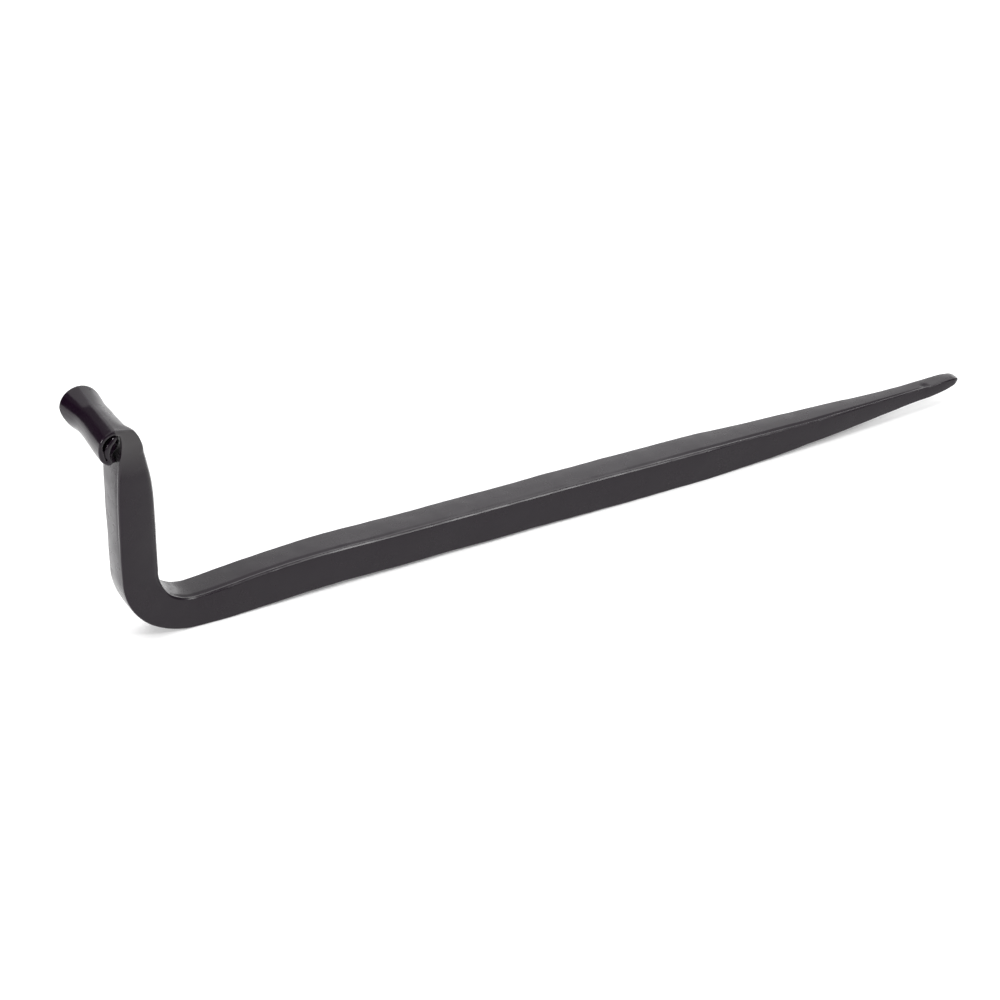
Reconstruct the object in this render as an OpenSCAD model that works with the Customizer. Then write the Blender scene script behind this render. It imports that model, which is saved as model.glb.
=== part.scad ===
// Forged drive-in hook: a square bar bent to an L, with a four-sided spike at the end of the long arm and
// a short arm that is drawn thin, spread to one side and rolled over into a scroll.
// One forging in real life, drawn here as the stretches that the smith works one after another.
// Side view: X runs from the back of the short arm to the point, Z runs up the short arm.
// Y runs across the bar, and the scroll overhangs the bar towards +Y.

/* [Bar] */
// Size of the square bar across its flats
bar = 10; // [9:0.5:11]
// Bevel along the four long edges of the bar
edge_bevel = 0.8; // [0.3:0.1:1.2]

/* [Arms] */
// Overall length, from the back of the short arm to the point
arm_length = 274; // [240:1:320]
// Radius of the bend, at the inside of the corner
bend_inner_r = 11.5; // [9:0.5:14]
// Height at which the short arm begins to be drawn thin
neck_start_z = 45; // [40:1:50]

/* [Spike] */
// Length of the tapered end, point included
spike_length = 84; // [60:1:100]
// Length of the blunt point at the very end
point_length = 16; // [10:1:20]
// Size of the bar where the blunt point begins
point_size = 3.8; // [3:0.1:5]
// Size of the flat at the very end of the point
point_flat = 1.6; // [1:0.1:2.4]
// How far the middle of the bar has climbed where the blunt point begins
point_rise = 1.6; // [0.5:0.1:2.5]
// How far the middle of the bar climbs again along the blunt point
tip_rise = 0.8; // [0:0.1:1.2]

/* [Scroll] */
// Length of the scroll across the bar
scroll_length = 26; // [20:0.5:32]
// Outer radius of the scroll
scroll_r = 5.3; // [5:0.1:5.6]
// Thickness of the rolled sheet
sheet = 1.3; // [1:0.1:1.6]
// Thickness of the tongue that is turned up inside the scroll
tongue = 1.8; // [1.4:0.1:2]
// Height of the middle of the scroll
scroll_z = 65.2; // [64:0.1:68]
// Distance of the middle of the scroll from the back of the short arm
scroll_x = 1.1; // [0.8:0.1:1.4]
// Height at which the sheet begins to spread sideways
spread_start_z = 57; // [55:0.5:59]
// Thickness of the spread sheet before it is rolled
fan_sheet_t = 2; // [1.6:0.1:2.4]

/* [Hidden] */
$fn = 96;
half = bar / 2;
bend_outer_r = bend_inner_r + bar;
taper_x = arm_length - spike_length;
point_x = arm_length - point_length;
rest_x = (bend_outer_r + taper_x) / 2;      // middle of the flat underside, the part's origin
far_y = scroll_length - half;               // far end of the scroll
scroll_inner_r = scroll_r - sheet;
neck_back_x = 1.9;                          // back of the drawn neck, at the height of the scroll
shoulder_r = 4.2;                           // rounding from the inner face of the neck to its top
shoulder_x = 3.9;
tongue_lean = 35;                           // lean of the tongue from upright, in degrees
tongue_length = 7.6;
plate = 0.01;                               // thin slice that a tapering stretch starts or ends with
clear = 40;                                 // reach of a cutting shape past the scroll
steel = [0.16, 0.155, 0.165];
gloss = [0.09, 0.085, 0.09];

// Puts the middle of the flat underside of the long arm at the origin
module in_frame() {
    translate([-rest_x, 0, 0]) children();
}

// Extrudes a side view, X across and Z up, between two places along Y
module along_y(low, high) {
    translate([0, high, 0]) rotate([90, 0, 0]) linear_extrude(high - low) children();
}

// Square section of the bar with its four corners bevelled, centred
module section(size, bevel) {
    flat = size / 2;
    in = flat - bevel;
    polygon([[in, -flat], [flat, -in], [flat, in], [in, flat],
             [-in, flat], [-flat, in], [-flat, -in], [-in, -flat]]);
}

// Thin slice across the long arm: its place along X, the height of its middle, its size
module slice(x, z, size) {
    translate([x, 0, z]) rotate([90, 0, 90]) linear_extrude(plate) section(size, edge_bevel * size / bar);
}

module spike_point() {
    color(steel) in_frame() hull() {
        slice(point_x, half + point_rise, point_size);
        slice(arm_length - plate, half + point_rise + tip_rise, point_flat);
    }
}

module spike_taper() {
    color(steel) in_frame() hull() {
        slice(taper_x, half, bar);
        slice(point_x - plate, half + point_rise, point_size);
    }
}

module long_arm() {
    color(steel) in_frame() translate([bend_outer_r, 0, half]) rotate([90, 0, 90])
        linear_extrude(taper_x - bend_outer_r) section(bar, edge_bevel);
}

// A quarter turn of the bar about the inside corner's centre
module heel_bend() {
    color(steel) in_frame() translate([bend_outer_r, 0, bend_outer_r]) rotate([90, 0, 0])
        rotate([0, 0, 180]) rotate_extrude(angle = 90)
            translate([bend_inner_r + half, 0]) section(bar, edge_bevel);
}

module short_arm() {
    color(steel) in_frame() translate([half, 0, bend_outer_r])
        linear_extrude(neck_start_z - bend_outer_r) section(bar, edge_bevel);
}

module scroll_disc(r) {
    translate([scroll_x, scroll_z]) circle(r);
}

// Side view of the neck: the bar thins from both faces up to a rounded shoulder, which runs into the scroll
module neck_side() {
    shoulder = shoulder_x + shoulder_r;
    polygon([[0, neck_start_z], [bar, neck_start_z], [shoulder, scroll_z], [neck_back_x, scroll_z]]);
    difference() {
        union() {
            translate([shoulder_x, scroll_z]) circle(shoulder_r);
            scroll_disc(scroll_r);
        }
        translate([neck_back_x - clear, scroll_z - clear]) square([clear, 2 * clear]);
        translate([neck_back_x, scroll_z - clear]) square(clear);
    }
}

module drawn_neck() {
    color(steel) in_frame() intersection() {
        along_y(-half, half) neck_side();
        translate([half, 0, neck_start_z]) linear_extrude(clear) section(bar, edge_bevel);
    }
}

// Side view of the sheet beside the neck: upright below, then bent over to the top of the scroll
module spread_side() {
    translate([scroll_x + scroll_r - fan_sheet_t, spread_start_z])
        square([fan_sheet_t, scroll_z - spread_start_z]);
    intersection() {
        difference() {
            scroll_disc(scroll_r);
            scroll_disc(scroll_r - fan_sheet_t);
        }
        translate([neck_back_x, scroll_z]) square(clear);
    }
}

// Front view of the sheet: its lower edge climbs outwards from the bar to the end of the scroll
module spread_front() {
    polygon([[half, spread_start_z], [far_y, scroll_z + 1], [far_y, scroll_z + clear],
             [half, scroll_z + clear]]);
}

module spread_sheet() {
    color(gloss) in_frame() intersection() {
        along_y(half, far_y) spread_side();
        rotate([90, 0, 90]) linear_extrude(clear) spread_front();
    }
}

// Side view of the rolled sheet: from the top of the neck round to its back
module wrap_side() {
    difference() {
        scroll_disc(scroll_r);
        scroll_disc(scroll_inner_r);
        translate([neck_back_x, scroll_z]) square(clear);
        translate([scroll_x, scroll_z - clear]) square(clear);
    }
}

module scroll_wrap() {
    color(gloss) in_frame() along_y(-half, far_y) wrap_side();
}

// Side view of the tongue: straight, leaning, with a round free edge, clear of the neck
module tongue_side() {
    intersection() {
        scroll_disc(scroll_inner_r);
        translate([scroll_x, scroll_z]) rotate(-tongue_lean) translate([-tongue, 0]) {
            translate([-tongue / 2, -tongue_length / 2]) square([tongue, tongue_length - tongue / 2]);
            translate([0, (tongue_length - tongue) / 2]) circle(tongue / 2);
        }
        translate([neck_back_x - clear, scroll_z - clear]) square([clear, 2 * clear]);
    }
}

module scroll_tongue() {
    color(gloss) in_frame() along_y(-half, far_y) tongue_side();
}

spike_point();
spike_taper();
long_arm();
heel_bend();
short_arm();
drawn_neck();
spread_sheet();
scroll_wrap();
scroll_tongue();
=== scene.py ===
"""A forged black hook: one continuous forged surface, cut into the stretches that the CAD model names."""
import math

import bpy
import numpy as np
from mathutils import Matrix, Vector, noise


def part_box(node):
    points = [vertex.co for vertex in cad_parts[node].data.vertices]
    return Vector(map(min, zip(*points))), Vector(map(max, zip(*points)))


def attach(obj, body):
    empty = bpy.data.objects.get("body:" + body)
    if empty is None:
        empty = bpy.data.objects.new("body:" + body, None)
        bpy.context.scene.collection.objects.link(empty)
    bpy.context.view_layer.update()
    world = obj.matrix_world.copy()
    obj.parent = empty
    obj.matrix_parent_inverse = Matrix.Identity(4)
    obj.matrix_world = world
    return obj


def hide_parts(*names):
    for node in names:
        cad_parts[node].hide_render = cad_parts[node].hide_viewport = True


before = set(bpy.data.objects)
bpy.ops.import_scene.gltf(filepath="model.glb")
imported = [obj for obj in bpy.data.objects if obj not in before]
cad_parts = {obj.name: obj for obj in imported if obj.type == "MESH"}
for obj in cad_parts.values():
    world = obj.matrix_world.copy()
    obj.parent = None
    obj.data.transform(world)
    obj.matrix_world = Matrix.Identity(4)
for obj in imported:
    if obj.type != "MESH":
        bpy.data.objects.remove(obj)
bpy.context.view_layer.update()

MM = 0.001
TINY = 1e-6                                 # keeps a division by a length away from 0

# ---------------------------------------------------------------------------------------------------
# Driving dimensions, in mm. Side view: X from the back of the short arm to the point, Z up from the
# surface it lies on. Y runs across the bar, 0 at its middle.
# ---------------------------------------------------------------------------------------------------
BACK_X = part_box("short_arm")[0][0] / MM     # where the back of the short arm stands in the row frame
HALF = 5.0                                  # half the bar's width
CORNER = (21.5, 21.5)                       # centre of the bend
NECK_Z = 45.0                               # where the neck begins to be drawn thin
SCROLL = (0.75, 65.2)                       # middle of the scroll
SWELL_FROM = (1.3, 66.0)                    # the scroll narrows and widens along Y about this line
DRIFT = (-0.5, 0.0)                         # how far its far end leans out
DRIFT_Y = 8                                 # where along Y it starts to lean
FAR_Y = 20.6                                # far end of the scroll
TAPER_X = 190.0                             # where the arm begins to be drawn down to the point
POINT_X = 258.0                             # where the short, blunter taper of the point begins
TIP_X = 273.8

CREST = 0.6                                 # bevel of the bar's long edges on its A side
SOLE = 0.55                                 # rounding of the bar's long edges on its B side
INNER_EDGE = 2.6                            # the bar's edges inside the short arm
OUTER_EDGE = 0.9                            # the bar's edges outside the short arm
WIDER_NEAR, WIDER_FAR = 0.2, 1.0            # how much the short arm spreads on its two sides at the neck
RIM = 0.65                                  # rounding of the rolled sheet's rims
CROWN = 0.022                               # how far a face swells, as a share of its width
RECESS = 5.0                                # how far along Y the neck thins from its near rib to the sheet
MOST_EDGE = 0.42                            # most of a section's smaller side that one corner may take
ACROSS = 20                                 # steps across each broad face
THROUGH = 6                                 # steps through the thickness
# Two ways to turn a corner, as shares of the edge's size along one face and down the next
ROUNDED = np.array([(0, 0), (0.309, 0.049), (0.588, 0.191), (0.809, 0.412), (0.951, 0.691), (1, 1)])
BEVELLED = np.array([(0, 0), (0.17, 0.035), (0.33, 0.13), (0.87, 0.67), (0.965, 0.83), (1, 1)])

# The groove that the hammer left beside the near crest: places along the face's width, shares of its depth
GROOVE = [(0.035, 0.6), (0.065, 1.0), (0.11, 0.62), (0.165, 0.0)]
GROOVE_SPAN = 8.4                           # widest face that the groove's places are scaled to
BACK_GROOVE = 0.08                          # depth of the same groove outside the short arm


def curve(points):
    """A smooth function through given (place, value) points; a value may be a number or a pair."""
    place = np.array([p[0] for p in points], float)
    value = np.array([p[1] for p in points], float)
    slope = np.gradient(value, place, axis=0)

    def at(q):
        k = int(np.clip(np.searchsorted(place, q) - 1, 0, len(place) - 2))
        step = place[k + 1] - place[k]
        t = (q - place[k]) / step
        return ((1 + 2 * t) * (1 - t) ** 2 * value[k] + t * (1 - t) ** 2 * step * slope[k]
                + t * t * (3 - 2 * t) * value[k + 1] - t * t * (1 - t) * step * slope[k + 1])

    return at


def ease(low, high, q):
    """0 below low, 1 above high, and a smooth climb between."""
    t = min(max((q - low) / (high - low), 0.0), 1.0)
    return t * t * (3 - 2 * t)


# The long arm: the hammer left it a little thicker towards the bend and slightly arched
arm_top = curve([
    (21.5, 10.1), (25, 10.25), (31, 10.72), (40, 11.5), (55, 12.25), (85, 11.8), (116, 11.4), (150, 11.0),
    (175, 10.5), (190, 10.1), (210, 9.4), (230, 8.8), (250, 8.4), (264, 8.5), (271, 8.45), (273, 8.15),
    (TIP_X, 7.75)])
arm_bottom = curve([
    (21.5, 0), (30, 0), (40, 0.3), (55, 0.95), (85, 0.8), (116, 0.55), (150, 0.25), (172, 0), (190, 0),
    (200, 0.2), (210, 0.7), (220, 1.4), (230, 2.05), (240, 2.75), (250, 3.55), (258, 4.25), (264, 4.7),
    (268, 5.3), (271, 5.85), (273, 6.5), (TIP_X, 7.15)])
arm_half = curve([
    (21.5, 5.05), (30, 5.25), (40, 5.15), (85, 5.2), (150, 5.2), (175, 5.25), (188, 5.1), (199, 4.65),
    (210, 4.4), (220, 4.15), (230, 3.7), (240, 3.1), (250, 2.6), (258, 2.4), (266, 2.4), (271, 2.05),
    (273, 1.7), (TIP_X, 1.3)])
arm_groove = curve([
    (21.5, 0.26), (50, 0.18), (80, 0.1), (160, 0.1), (200, 0.32), (245, 0.3), (262, 0.05), (TIP_X, 0)])
# The bend: distances of its two faces from its centre, by the degrees turned. The short arm: its two faces,
# by height. The scroll: its size, by the place along Y.
bend_inner = curve([(0, 11.4), (8, 11.42), (25, 11.45), (45, 11.4), (70, 10.75), (90, 10.1)])
bend_outer = curve([(0, 21.5), (20, 21.5), (45, 21.8), (70, 21.75), (90, 21.5)])
arm_inner_x = curve([(21.5, 11.4), (30, 11.45), (40, 11.4), (NECK_Z, 11.35)])
arm_outer_x = curve([(21.5, 0.0), (28, 0.0), (39, 0.1), (NECK_Z, 0.2)])
scroll_swell = curve([(-5.2, 1.0), (0, 0.985), (5, 0.955), (9, 0.935), (13, 0.94), (17, 1.04), (21, 1.19)])


class Station:
    """One cross-section of the forging.

    a, b are the side-view places of its A face (top, inside of the L, outside of the scroll) and its B face
    at the near side, a_far and b_far the same away from the near side; near and far are its two edges along
    Y; edges are the sizes of its A and B corners; bevel says how bevelled the A corners are; crown is how
    far its faces swell; swell_share is how far it follows the scroll's own swelling; rib is the width of the
    near part that keeps a and b, and recess the width over which it then turns to a_far and b_far; past
    until it comes back to a and b; grooves are the depths of the grooves beside its near edges, on the A and
    B faces."""

    def __init__(self, a, b, near=-HALF, far=HALF, edges=(RIM, RIM), bevel=0.0, crown=CROWN, a_far=None,
                 b_far=None, swell_share=0.0, rib=0.0, recess=RECESS, until=2 * FAR_Y, grooves=(0.0, 0.0)):
        self.a, self.b = np.array(a, float), np.array(b, float)
        self.a_far = self.a if a_far is None else np.array(a_far, float)
        self.b_far = self.b if b_far is None else np.array(b_far, float)
        self.near, self.far, self.edges, self.bevel = near, far, edges, bevel
        self.crown, self.swell_share, self.rib, self.recess = crown, swell_share, rib, recess
        self.until, self.grooves = until, grooves

    def faces_at(self, y):
        """Side-view places of the A and B faces at y, with the sheet's thinning and the scroll's swelling."""
        thin = ease(self.near + self.rib, self.near + self.rib + self.recess, y)
        thin *= 1 - ease(self.until, self.until + RECESS, y)
        a = self.a + (self.a_far - self.a) * thin
        b = self.b + (self.b_far - self.b) * thin
        swell = 1 + (scroll_swell(y) - 1) * self.swell_share
        still = np.array(SWELL_FROM)
        moved = still + np.array(DRIFT) * ease(DRIFT_Y, FAR_Y, y) * self.swell_share
        return moved + (a - still) * swell, moved + (b - still) * swell

    def face(self, edge, corner, from_b):
        """The points of one broad face and its two corners, from the near side to the far side."""
        low, high = self.near + edge, self.far - edge
        middle, reach = (low + high) / 2, (high - low) / 2
        points = [(low - edge * along, edge * down) for along, down in corner[::-1]]
        span = min(high - low, GROOVE_SPAN)
        start = low + GROOVE[-1][0] * span
        across = [(low + place * span, share) for place, share in GROOVE]
        across += [(start + (high - start) * k / ACROSS, 0.0) for k in range(1, ACROSS)]
        for y, share in across:
            rise = self.crown * (high - low) * (1 - ((y - middle) / reach) ** 2)
            points.append((y, self.grooves[int(from_b)] * share - rise))
        points += [(high + edge * along, edge * down) for along, down in corner]
        return [self.point(y, depth, from_b) for y, depth in points]

    def ring(self):
        """The points round the section: the A face, the far side, the B face and the near side."""
        thick = np.linalg.norm(np.subtract(*self.faces_at((self.near + self.far) / 2)))
        most = MOST_EDGE * min(thick, self.far - self.near)
        edge_a, edge_b = min(self.edges[0], most), min(self.edges[1], most)
        crest = ROUNDED + (BEVELLED - ROUNDED) * self.bevel
        top = self.face(edge_a, crest, False)
        sole = self.face(edge_b, ROUNDED, True)
        far = [self.side(self.far, 1, k / THROUGH, edge_a, edge_b) for k in range(1, THROUGH)]
        near = [self.side(self.near, -1, 1 - k / THROUGH, edge_a, edge_b) for k in range(1, THROUGH)]
        return top + far + sole[::-1] + near

    def point(self, y, depth, from_b):
        """A point at y, depth below the A face, or above the B face."""
        a, b = self.faces_at(y)
        part = depth / max(np.linalg.norm(b - a), TINY)
        place = b + (a - b) * part if from_b else a + (b - a) * part
        return Vector((place[0] + BACK_X, y, place[1])) * MM

    def side(self, y, way, part, edge_a, edge_b):
        """A point on the near or far side, part of the way down it from the A face."""
        a, b = self.faces_at(y)
        thick = np.linalg.norm(b - a)
        depth = edge_a + (thick - edge_a - edge_b) * part
        bulge = self.crown * thick * (1 - (2 * part - 1) ** 2)
        place = a + (b - a) * depth / max(thick, TINY)
        return Vector((place[0] + BACK_X, y + way * bulge, place[1])) * MM


def steps(start, end, size):
    """Places from start up to but not including end, about size apart."""
    count = max(1, round(abs(end - start) / size))
    return [start + (end - start) * k / count for k in range(count)]


def arm_stations(start, end, size):
    """The long arm and its spike, between two places along X."""
    out = []
    for x in steps(start, end, size):
        half = arm_half(x)
        scale = half / HALF
        out.append(Station((x, arm_top(x)), (x, arm_bottom(x)), -half, half,
                           edges=(CREST * scale, SOLE * scale), bevel=1.0, grooves=(arm_groove(x), 0)))
    return out


BEND_TURN = 90                              # degrees
BEND_FROM = 270                             # which way its start lies from its centre, in degrees
BEVEL_ENDS = (50, BEND_TURN)                # turn over which the crest's bevel becomes the round inner edge
CREST_GROOVE_ENDS = (15, 60)                # turn over which the groove beside the crest dies out


def bend_stations(size):
    """The bend, from the long arm to the short one."""
    out = []
    for turn in steps(0, BEND_TURN, size):
        angle = math.radians(BEND_FROM - turn)
        way = np.array((math.cos(angle), math.sin(angle)))
        inner = ease(*BEVEL_ENDS, turn)
        groove = arm_groove(CORNER[0]) * (1 - ease(*CREST_GROOVE_ENDS, turn))
        out.append(Station(CORNER + bend_inner(turn) * way, CORNER + bend_outer(turn) * way,
                           edges=(CREST + (INNER_EDGE - CREST) * inner, SOLE), bevel=1 - inner,
                           grooves=(groove, 0)))
    return out


OUTER_EDGE_GROWS = (24, NECK_Z)             # heights over which the short arm's outer edges get rounder
BACK_GROOVE_STARTS = (26, 38)               # heights over which the groove outside it begins
WIDENS = (30, NECK_Z)                       # heights over which it gets wider


def short_arm_stations(size):
    """The short arm, from the bend up to the neck."""
    out = []
    for z in steps(CORNER[1], NECK_Z, size):
        wide = ease(*WIDENS, z)
        out.append(Station((arm_inner_x(z), z), (arm_outer_x(z), z), -HALF - WIDER_NEAR * wide,
                           HALF + WIDER_FAR * wide,
                           edges=(INNER_EDGE, SOLE + (OUTER_EDGE - SOLE) * ease(*OUTER_EDGE_GROWS, z)),
                           grooves=(0, BACK_GROOVE * ease(*BACK_GROOVE_STARTS, z))))
    return out


# The neck, by the distance s along it: places of the two faces at the near side and in the spread sheet, the
# far edge as it is drawn out, and the width of the near rib that stays thick
NECK_END = 30.6
neck_a = curve([
    (0, (11.35, 45)), (5, (11.15, 50)), (10, (10.5, 55)), (15.5, (9.35, 60.5)), (20, (8.3, 64.8)),
    (23, (7.3, 67.3)), (25.5, (5.9, 69.25)), (27.5, (4.2, 69.7)), (29, (2.4, 70.1)),
    (NECK_END, (0.75, 70.5))])
neck_b = curve([
    (0, (0.2, 45)), (5, (0.4, 50)), (10, (0.85, 55)), (15.5, (1.6, 60.5)), (20, (2.25, 64.3)),
    (23, (2.35, 66.6)), (25.5, (2.1, 68.0)), (27.5, (1.8, 68.6)), (29, (1.3, 68.95)),
    (NECK_END, (0.75, 69.2))])
sheet_a = curve([
    (0, (11.35, 45)), (5, (10.9, 50)), (10, (9.5, 55)), (15.5, (7.4, 60.5)), (20, (6.4, 64.8)),
    (23, (5.8, 67.6)), (25.5, (4.8, 69.0)), (27.5, (3.5, 69.85)), (29, (2.2, 70.3)),
    (NECK_END, (0.75, 70.5))])
sheet_b = curve([
    (0, (0.2, 45)), (5, (0.5, 50)), (10, (1.2, 55)), (15, (1.7, 59.8)), (17, (3.2, 61.8)), (20, (4.5, 64.8)),
    (23, (4.0, 66.9)), (25.5, (3.2, 68.0)), (27.5, (2.4, 68.6)), (29, (1.6, 68.95)),
    (NECK_END, (0.75, 69.2))])
neck_far = curve([
    (0, 6.0), (5, 6.4), (10, 7.3), (15.5, 9.4), (20, 13.5), (23, 17.2), (25.5, 19.4), (27.5, 20.3),
    (29, FAR_Y), (NECK_END, FAR_Y)])
neck_rib = curve([
    (0, 9.5), (10, 9.0), (13.5, 6.5), (15.5, 4.6), (17.7, 3.0), (20, 1.6), (23, 1.0), (NECK_END, 0.8)])
# The stretches of s over which the neck's section changes
DRAWN_THIN = (12, 26)
SWELL_STARTS = (12, 24)
WIDER_NEAR_ENDS = (6, 18)
BACK_GROOVE_ENDS = (9, 15)


def neck_stations(size):
    """The neck, from the thick bar to the top of the rolled sheet."""
    out = []
    for s in steps(0, NECK_END, size):
        drawn = ease(*DRAWN_THIN, s)
        near = -HALF - WIDER_NEAR * (1 - ease(*WIDER_NEAR_ENDS, s))
        edges = INNER_EDGE + (RIM - INNER_EDGE) * drawn, OUTER_EDGE + (RIM - OUTER_EDGE) * drawn
        out.append(Station(neck_a(s), neck_b(s), near, neck_far(s), edges=edges,
                           crown=CROWN * (1 - drawn), a_far=sheet_a(s), b_far=sheet_b(s),
                           swell_share=ease(*SWELL_STARTS, s), rib=neck_rib(s),
                           grooves=(0, BACK_GROOVE * (1 - ease(*BACK_GROOVE_ENDS, s)))))
    return out


# The rolled sheet: a thin wall round the scroll's middle, by the degrees turned, then its outer and inner
# sides as it folds under and goes back up inside as a tongue, by the distance s along them
WRAP_START, WRAP_END = 90, 170
wrap_r = curve([(WRAP_START, 5.3), (130, 5.2), (WRAP_END, 5.05)])
wrap_wall = curve([(WRAP_START, 1.3), (110, 0.95), (140, 0.8), (WRAP_END, 0.95)])
TONGUE_START, TONGUE_END = 9.0, 17.5
fold_a = curve([
    (0, (-4.22, 66.08)), (1.5, (-4.3, 64.6)), (3, (-4.1, 63.1)), (4.7, (-3.45, 61.6)), (6, (-2.5, 60.55)),
    (7.2, (-1.5, 60.1)), (8.1, (-0.75, 60.25)), (8.7, (-0.45, 60.8)), (9.3, (-0.65, 61.5)),
    (10.4, (-1.05, 62.5)), (11.6, (-1.1, 63.7)), (13, (-0.85, 65.0)), (14.4, (-0.25, 66.2)),
    (15.6, (0.55, 67.1)), (16.8, (1.2, 68.1)), (TONGUE_END, (1.3, 68.65))])
fold_b = curve([
    (0, (-3.29, 65.91)), (1.5, (-2.87, 64.7)), (3, (-2.65, 63.5)), (4.7, (-2.5, 62.6)), (6, (-2.35, 62.15)),
    (7.2, (-2.15, 61.95)), (8.1, (-2.05, 61.95)), (8.7, (-2.05, 62.05)), (9.3, (-2.15, 62.3)),
    (10.4, (-2.5, 63.1)), (11.6, (-2.72, 64.2)), (13, (-2.6, 65.2)), (14.4, (-1.8, 66.45)),
    (15.6, (-0.9, 67.35)), (16.8, (-0.05, 68.25)), (TONGUE_END, (0.4, 68.8))])
FOLD_SHORT = 3.8                            # how much sooner the far rim ends in the fold than in the sheet
SHORTENS = (0, 5.5)                         # the stretch of s over which it draws back
# Away from its near rim the fold's lower lip reaches over and bears on the neck, and the tongue is thicker
# towards the neck; the last line says where along Y, as a Station's rib, recess and until
LIP_AT, LIP_WIDTH, LIP_REACH = 8.3, 1.3, (2.5, -1.3)
TONGUE_REACH = (3.4, -0.4)
THICKENS, THINS = (9, 12), (13.5, 17)       # the stretches of s over which it gets thick and thin again
FOLD_RIB, FOLD_RECESS, FOLD_UNTIL = 0.8, 2.2, 11


def wrap_stations(size):
    """The sheet rolled round the scroll's middle, from its top to its outer side."""
    out = []
    for turn in steps(WRAP_START, WRAP_END, size):
        angle = math.radians(turn)
        way = np.array((math.cos(angle), math.sin(angle)))
        outer, inner = wrap_r(turn), wrap_r(turn) - wrap_wall(turn)
        out.append(Station(SCROLL + outer * way, SCROLL + inner * way, far=FAR_Y, crown=0, swell_share=1))
    return out


def fold_stations(start, end, size):
    """The fold under the scroll and the tongue inside it."""
    out = []
    for s in steps(start, end, size):
        lip = math.exp(-((s - LIP_AT) / LIP_WIDTH) ** 2) * np.array(LIP_REACH)
        thicker = ease(*THICKENS, s) * (1 - ease(*THINS, s)) * np.array(TONGUE_REACH)
        out.append(Station(fold_a(s), fold_b(s), far=FAR_Y - FOLD_SHORT * ease(*SHORTENS, s), crown=0,
                           a_far=fold_a(s) + lip + thicker, b_far=fold_b(s) + lip / 2, swell_share=1,
                           rib=FOLD_RIB, recess=FOLD_RECESS, until=FOLD_UNTIL))
    return out


# Name and cross-sections of each stretch, in order; the last argument of each call is the step between them
STRETCHES = [
    ("spike_point", arm_stations(TIP_X, POINT_X, 0.5)),
    ("spike_taper", arm_stations(POINT_X, TAPER_X, 1.2)),
    ("long_arm", arm_stations(TAPER_X, CORNER[0], 1.1)),
    ("heel_bend", bend_stations(3)),
    ("short_arm", short_arm_stations(1.0)),
    ("drawn_neck", neck_stations(0.45)),
    ("scroll_wrap", wrap_stations(5) + fold_stations(0, TONGUE_START, 0.3)),
    ("scroll_tongue", fold_stations(TONGUE_START, TONGUE_END, 0.25)),
]


# ---------------------------------------------------------------------------------------------------
# Mesh
# ---------------------------------------------------------------------------------------------------
PIT = (262.0 + BACK_X, -1.2, 8.5)           # a scale pit in the top of the point
PIT_SIZE, PIT_DEPTH = 1.1, 0.4
# The hammer's waves: how many to the metre, and their height in mm
BROAD_WAVES, BROAD_HEIGHT = 70, 0.16
FINE_WAVES, FINE_HEIGHT = 260, 0.06
FINE_SHIFT = Vector((7, 3, 1))              # so that the fine waves don't lie over the broad ones


def hammered(place, normal):
    """The surface moved along its normal by broad and fine hammer waves and the pit, but not underground."""
    broad = noise.noise(place * BROAD_WAVES) * BROAD_HEIGHT
    fine = noise.noise(place * FINE_WAVES + FINE_SHIFT) * FINE_HEIGHT
    pit = -PIT_DEPTH * math.exp(-((place / MM - Vector(PIT)).length / PIT_SIZE) ** 2)
    out = place + normal * (broad + fine + pit) * MM
    out.z = max(out.z, 0)
    return out


def grid_normals(rings):
    """Outward unit normals of a closed tube of rings, shape (ring, point, 3)."""
    along = np.gradient(rings, axis=0)
    round_ = np.roll(rings, -1, axis=1) - np.roll(rings, 1, axis=1)
    out = np.cross(along, round_)
    out /= np.maximum(np.linalg.norm(out, axis=2, keepdims=True), TINY ** 2)
    centre = rings.mean(axis=1, keepdims=True)
    return -out if np.sum((rings - centre) * out) < 0 else out


def forged_surface():
    """All the rings from the point to the tongue's free edge, with their normals."""
    rings = np.array([[tuple(p) for p in station.ring()] for _, part in STRETCHES for station in part])
    normals = grid_normals(rings)
    for i in range(rings.shape[0]):
        for j in range(rings.shape[1]):
            rings[i, j] = hammered(Vector(rings[i, j]), Vector(normals[i, j]))
    return rings, grid_normals(rings)


def piece(name, rings, normals):
    """A closed mesh of these rings, capped at both ends, shaded with the whole forging's normals."""
    count, size = rings.shape[:2]
    faces = []
    for i in range(count - 1):
        for j in range(size):
            k = (j + 1) % size
            faces.append((i * size + j, i * size + k, (i + 1) * size + k, (i + 1) * size + j))
    faces.append(tuple(reversed(range(size))))
    faces.append(tuple(range((count - 1) * size, count * size)))
    mesh = bpy.data.meshes.new(name)
    mesh.from_pydata(rings.reshape(-1, 3).tolist(), [], faces)
    mesh.update()
    mesh.shade_smooth()
    mesh.normals_split_custom_set_from_vertices(normals.reshape(-1, 3).tolist())
    obj = bpy.data.objects.new(name, mesh)
    bpy.context.scene.collection.objects.link(obj)
    return obj


def build_pieces():
    """The stretches as separate meshes by name; each shares its last ring with the next one's first."""
    rings, normals = forged_surface()
    start, out = 0, {}
    for name, part in STRETCHES:
        end = min(start + len(part) + 1, len(rings))
        out[name] = piece("forged_" + name, rings[start:end], normals[start:end])
        start += len(part)
    return out


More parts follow.
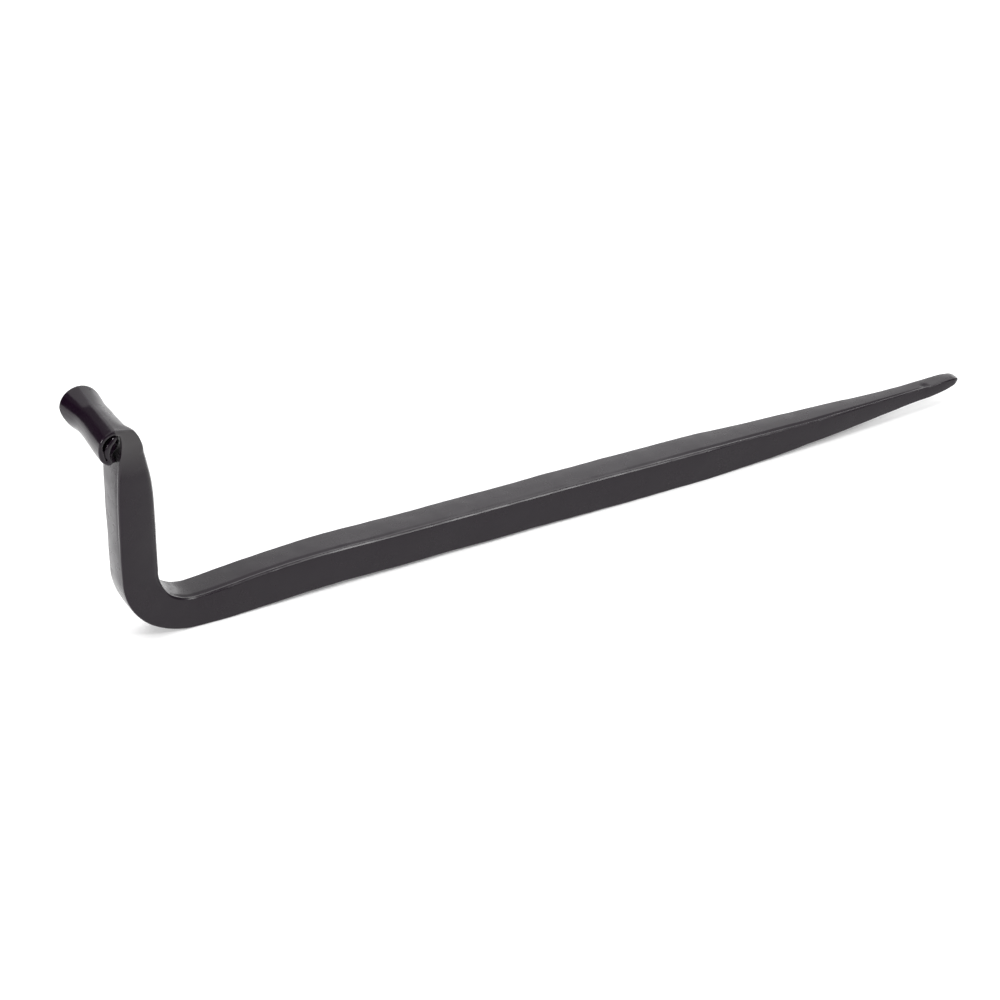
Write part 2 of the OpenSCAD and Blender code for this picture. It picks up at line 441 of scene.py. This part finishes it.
# ---------------------------------------------------------------------------------------------------
# Materials
# ---------------------------------------------------------------------------------------------------
COAT = (0.0052, 0.0012, 0.0054)
COAT_IOR = 1.36
SHEEN_ROUGHNESS = 0.3
UNEVEN = (-0.06, 0.07)                      # how far the coat's roughness strays below and above its middle
UNEVEN_WAVES = 110                          # to the metre, as all waves here
NOISE_RANGE = (0.3, 0.7)                    # the part of the noise's range that is spread over all values
GRAIN_WAVES, GRAIN_STRENGTH, GRAIN_HEIGHT = 1500, 0.25, 0.05 * MM
PAINTED_LIGHT_COLOUR = (0.05, 0.046, 0.048)                # painted light: the lighter colour given to the top of the neck's near side, standing for the light that its tilted face catches
PATCH_ROUGHNESS = 0.5
PAINTED_LIGHT_Y = (-4.6, -4.85)                     # places along Y over which the bar turns from the coat to the painted light patch, mm
PAINTED_LIGHT_Z = (55.0, 65.0)                      # the same in height


def node(material, kind, **inputs):
    """A new shader node with these constant inputs; underscores stand for the spaces in their names."""
    out = material.node_tree.nodes.new(kind)
    for name, value in inputs.items():
        out.inputs[name.replace("_", " ")].default_value = value
    return out


def range_of(material, value, start, end):
    """0 where value is at start, 1 where it is at end, and straight between."""
    out = node(material, "ShaderNodeMapRange", From_Min=start, From_Max=end)
    material.node_tree.links.new(value, out.inputs["Value"])
    return out.outputs["Result"]


def painted_light_part(material, coords):
    """1 near the top of the neck's near side, where a lighter colour is painted in as light; 0 elsewhere."""
    links = material.node_tree.links
    split = node(material, "ShaderNodeSeparateXYZ")
    links.new(coords, split.inputs["Vector"])
    side = range_of(material, split.outputs["Y"], PAINTED_LIGHT_Y[0] * MM, PAINTED_LIGHT_Y[1] * MM)
    height = range_of(material, split.outputs["Z"], PAINTED_LIGHT_Z[0] * MM, PAINTED_LIGHT_Z[1] * MM)
    both = node(material, "ShaderNodeMath")
    both.operation = "MULTIPLY"
    links.new(side, both.inputs[0])
    links.new(height, both.inputs[1])
    return both.outputs["Value"]


def cloud(material, coords, scale, low, high):
    """Soft noise of this scale, from low to high."""
    links = material.node_tree.links
    waves = node(material, "ShaderNodeTexNoise", Scale=scale, Detail=4)
    links.new(coords, waves.inputs["Vector"])
    spread = node(material, "ShaderNodeMapRange", From_Min=NOISE_RANGE[0], From_Max=NOISE_RANGE[1],
                  To_Min=low, To_Max=high)
    links.new(waves.outputs["Fac"], spread.inputs["Value"])
    return spread.outputs["Result"]


def black_coat(name, roughness, sheen):
    """A thin black coat over forged steel, a little uneven in its gloss."""
    material = bpy.data.materials.new(name)
    material.use_nodes = True
    nodes, links = material.node_tree.nodes, material.node_tree.links
    shader = nodes["Principled BSDF"]
    shader.inputs["Base Color"].default_value = (*COAT, 1)
    shader.inputs["IOR"].default_value = COAT_IOR
    shader.inputs["Sheen Weight"].default_value = sheen
    shader.inputs["Sheen Roughness"].default_value = SHEEN_ROUGHNESS
    coords = nodes.new("ShaderNodeTexCoord").outputs["Object"]
    uneven = cloud(material, coords, UNEVEN_WAVES, roughness + UNEVEN[0], roughness + UNEVEN[1])
    links.new(uneven, shader.inputs["Roughness"])
    grain = node(material, "ShaderNodeTexNoise", Scale=GRAIN_WAVES, Detail=3)
    links.new(coords, grain.inputs["Vector"])
    bump = node(material, "ShaderNodeBump", Strength=GRAIN_STRENGTH, Distance=GRAIN_HEIGHT)
    links.new(grain.outputs["Fac"], bump.inputs["Height"])
    links.new(bump.outputs["Normal"], shader.inputs["Normal"])
    return material


def coat_with_painted_light(name, roughness, sheen):
    """A black coat with painted light, a lighter grey, and a duller gloss near the top of the neck's near
    side.
    """
    material = black_coat(name, roughness, sheen)
    nodes, links = material.node_tree.nodes, material.node_tree.links
    shader = nodes["Principled BSDF"]
    painted_light = painted_light_part(material, nodes["Texture Coordinate"].outputs["Object"])
    # painted light: the coat turns a lighter grey where the mask is 1
    tint = nodes.new("ShaderNodeMix")
    tint.data_type = "RGBA"
    tint.inputs["A"].default_value = (*COAT, 1)
    tint.inputs["B"].default_value = (*PAINTED_LIGHT_COLOUR, 1)
    links.new(painted_light, tint.inputs["Factor"])
    links.new(tint.outputs["Result"], shader.inputs["Base Color"])
    dull = nodes.new("ShaderNodeMix")
    links.new(painted_light, dull.inputs["Factor"])
    links.new(shader.inputs["Roughness"].links[0].from_socket, dull.inputs["A"])
    dull.inputs["B"].default_value = PATCH_ROUGHNESS
    links.new(dull.outputs["Result"], shader.inputs["Roughness"])
    return material


# ---------------------------------------------------------------------------------------------------
# Stage: floor, light and camera
# ---------------------------------------------------------------------------------------------------
FLOOR_SIZE = 6
FLOOR_GLOW = 0.2                            # so that the floor comes out white
# Name, place, what it points at, size and power of each light, in metres and watts
LIGHTS = [
    ("overhead_softbox", (0.1, 0.6, 1.8), (0.1, 0.6, 0), (3.0, 3.0), 39),
    ("right_back_panel", (0.95, 1.25, 0.75), (0.05, 0, 0), (1.8, 1.3), 10),
    ("low_right_card", (1.1, 1.3, 0.22), (0.05, 0, 0.05), (1.0, 0.3), 2),
    ("ridge_strip", (0.62, -0.98, 1.2), (0.1, 0, 0), (0.45, 0.35), 10),
    ("rim_strip", (-1.5, -0.2, 0.6), (-0.1, 0, 0.06), (0.25, 0.25), 20),
]
FLAG_PLACE, FLAG_AIM, FLAG_SIZE = (-0.4, 0.38, 0.15), (0, 0, 0.15), (0.5, 0.3)
SURROUNDINGS = 0.25                         # grey of the world
CAMERA_PLACE = (-318.05 + BACK_X, -860.6, 641.5)    # mm
CAMERA_AZIMUTH, CAMERA_ELEVATION, CAMERA_ROLL = 26.91, 33.2, -0.37
CAMERA_LENS = 144


def area_light(name, place, aim, size, power):
    """A rectangular light, unseen by the camera."""
    data = bpy.data.lights.new(name, "AREA")
    data.shape = "RECTANGLE"
    data.size, data.size_y = size
    data.energy = power
    lamp = bpy.data.objects.new(name, data)
    lamp.location = place
    lamp.rotation_euler = (Vector(aim) - Vector(place)).to_track_quat("-Z", "Y").to_euler()
    lamp.visible_camera = False
    bpy.context.scene.collection.objects.link(lamp)


def paint(name, grey, roughness, glow=0.0):
    """A plain grey material that may shine a little of its own."""
    material = bpy.data.materials.new(name)
    material.use_nodes = True
    shader = material.node_tree.nodes["Principled BSDF"]
    shader.inputs["Base Color"].default_value = (grey, grey, grey, 1)
    shader.inputs["Roughness"].default_value = roughness
    shader.inputs["Emission Color"].default_value = (1, 1, 1, 1)
    shader.inputs["Emission Strength"].default_value = glow
    return material


def staged_plane(name, size, material):
    """A square plane of the stage, facing up at the origin."""
    bpy.ops.mesh.primitive_plane_add(size=size)
    plane = bpy.context.object
    plane.name = name
    plane.data.materials.append(material)
    return plane


def black_flag(place, aim, size):
    """A dark card, unseen by the camera, that gives the gloss coat something dark to reflect."""
    card = staged_plane("black_flag", 1, paint("black_velvet", grey=0.01, roughness=0.9))
    card.scale = (size[0], size[1], 1)
    card.location = place
    card.rotation_euler = (Vector(aim) - Vector(place)).to_track_quat("Z", "Y").to_euler()
    card.visible_camera = False


def make_stage():
    """The white floor, the lights, the dark card and the grey surroundings."""
    staged_plane("floor", FLOOR_SIZE, paint("white_ground", grey=0.85, roughness=0.5, glow=FLOOR_GLOW))
    for light in LIGHTS:
        area_light(*light)
    black_flag(FLAG_PLACE, FLAG_AIM, FLAG_SIZE)
    world = bpy.data.worlds.new("studio")
    bpy.context.scene.world = world
    world.use_nodes = True
    colour = (SURROUNDINGS, SURROUNDINGS, SURROUNDINGS, 1)
    world.node_tree.nodes["Background"].inputs["Color"].default_value = colour


def make_camera():
    """The camera, to the left of the near side and above it."""
    data = bpy.data.cameras.new("camera")
    data.lens = CAMERA_LENS
    camera = bpy.data.objects.new("camera", data)
    camera.location = Vector(CAMERA_PLACE) * MM
    turn = (Matrix.Rotation(math.radians(-CAMERA_AZIMUTH), 4, "Z")
            @ Matrix.Rotation(math.radians(90 - CAMERA_ELEVATION), 4, "X")
            @ Matrix.Rotation(math.radians(CAMERA_ROLL), 4, "Z"))
    camera.rotation_euler = turn.to_euler()
    bpy.context.scene.collection.objects.link(camera)
    bpy.context.scene.camera = camera


# Each other piece stands for the node of its own name
REPLACED = {"drawn_neck": ("drawn_neck", "spread_sheet")}
GLOSSY = ("scroll_wrap", "scroll_tongue")
# the satin coat has painted light, a lighter grey patch, at the top of the neck's near side
satin = coat_with_painted_light("satin_black_coat", roughness=0.28, sheen=0.75)
gloss = black_coat("gloss_black_coat", roughness=0.2, sheen=0.25)
for part, obj in build_pieces().items():
    shiny = part in GLOSSY
    obj.data.materials.append(gloss if shiny else satin)
    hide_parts(*REPLACED.get(part, (part,)))
    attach(obj, "root")

make_stage()
make_camera()
bpy.context.scene.view_settings.view_transform = "Standard"
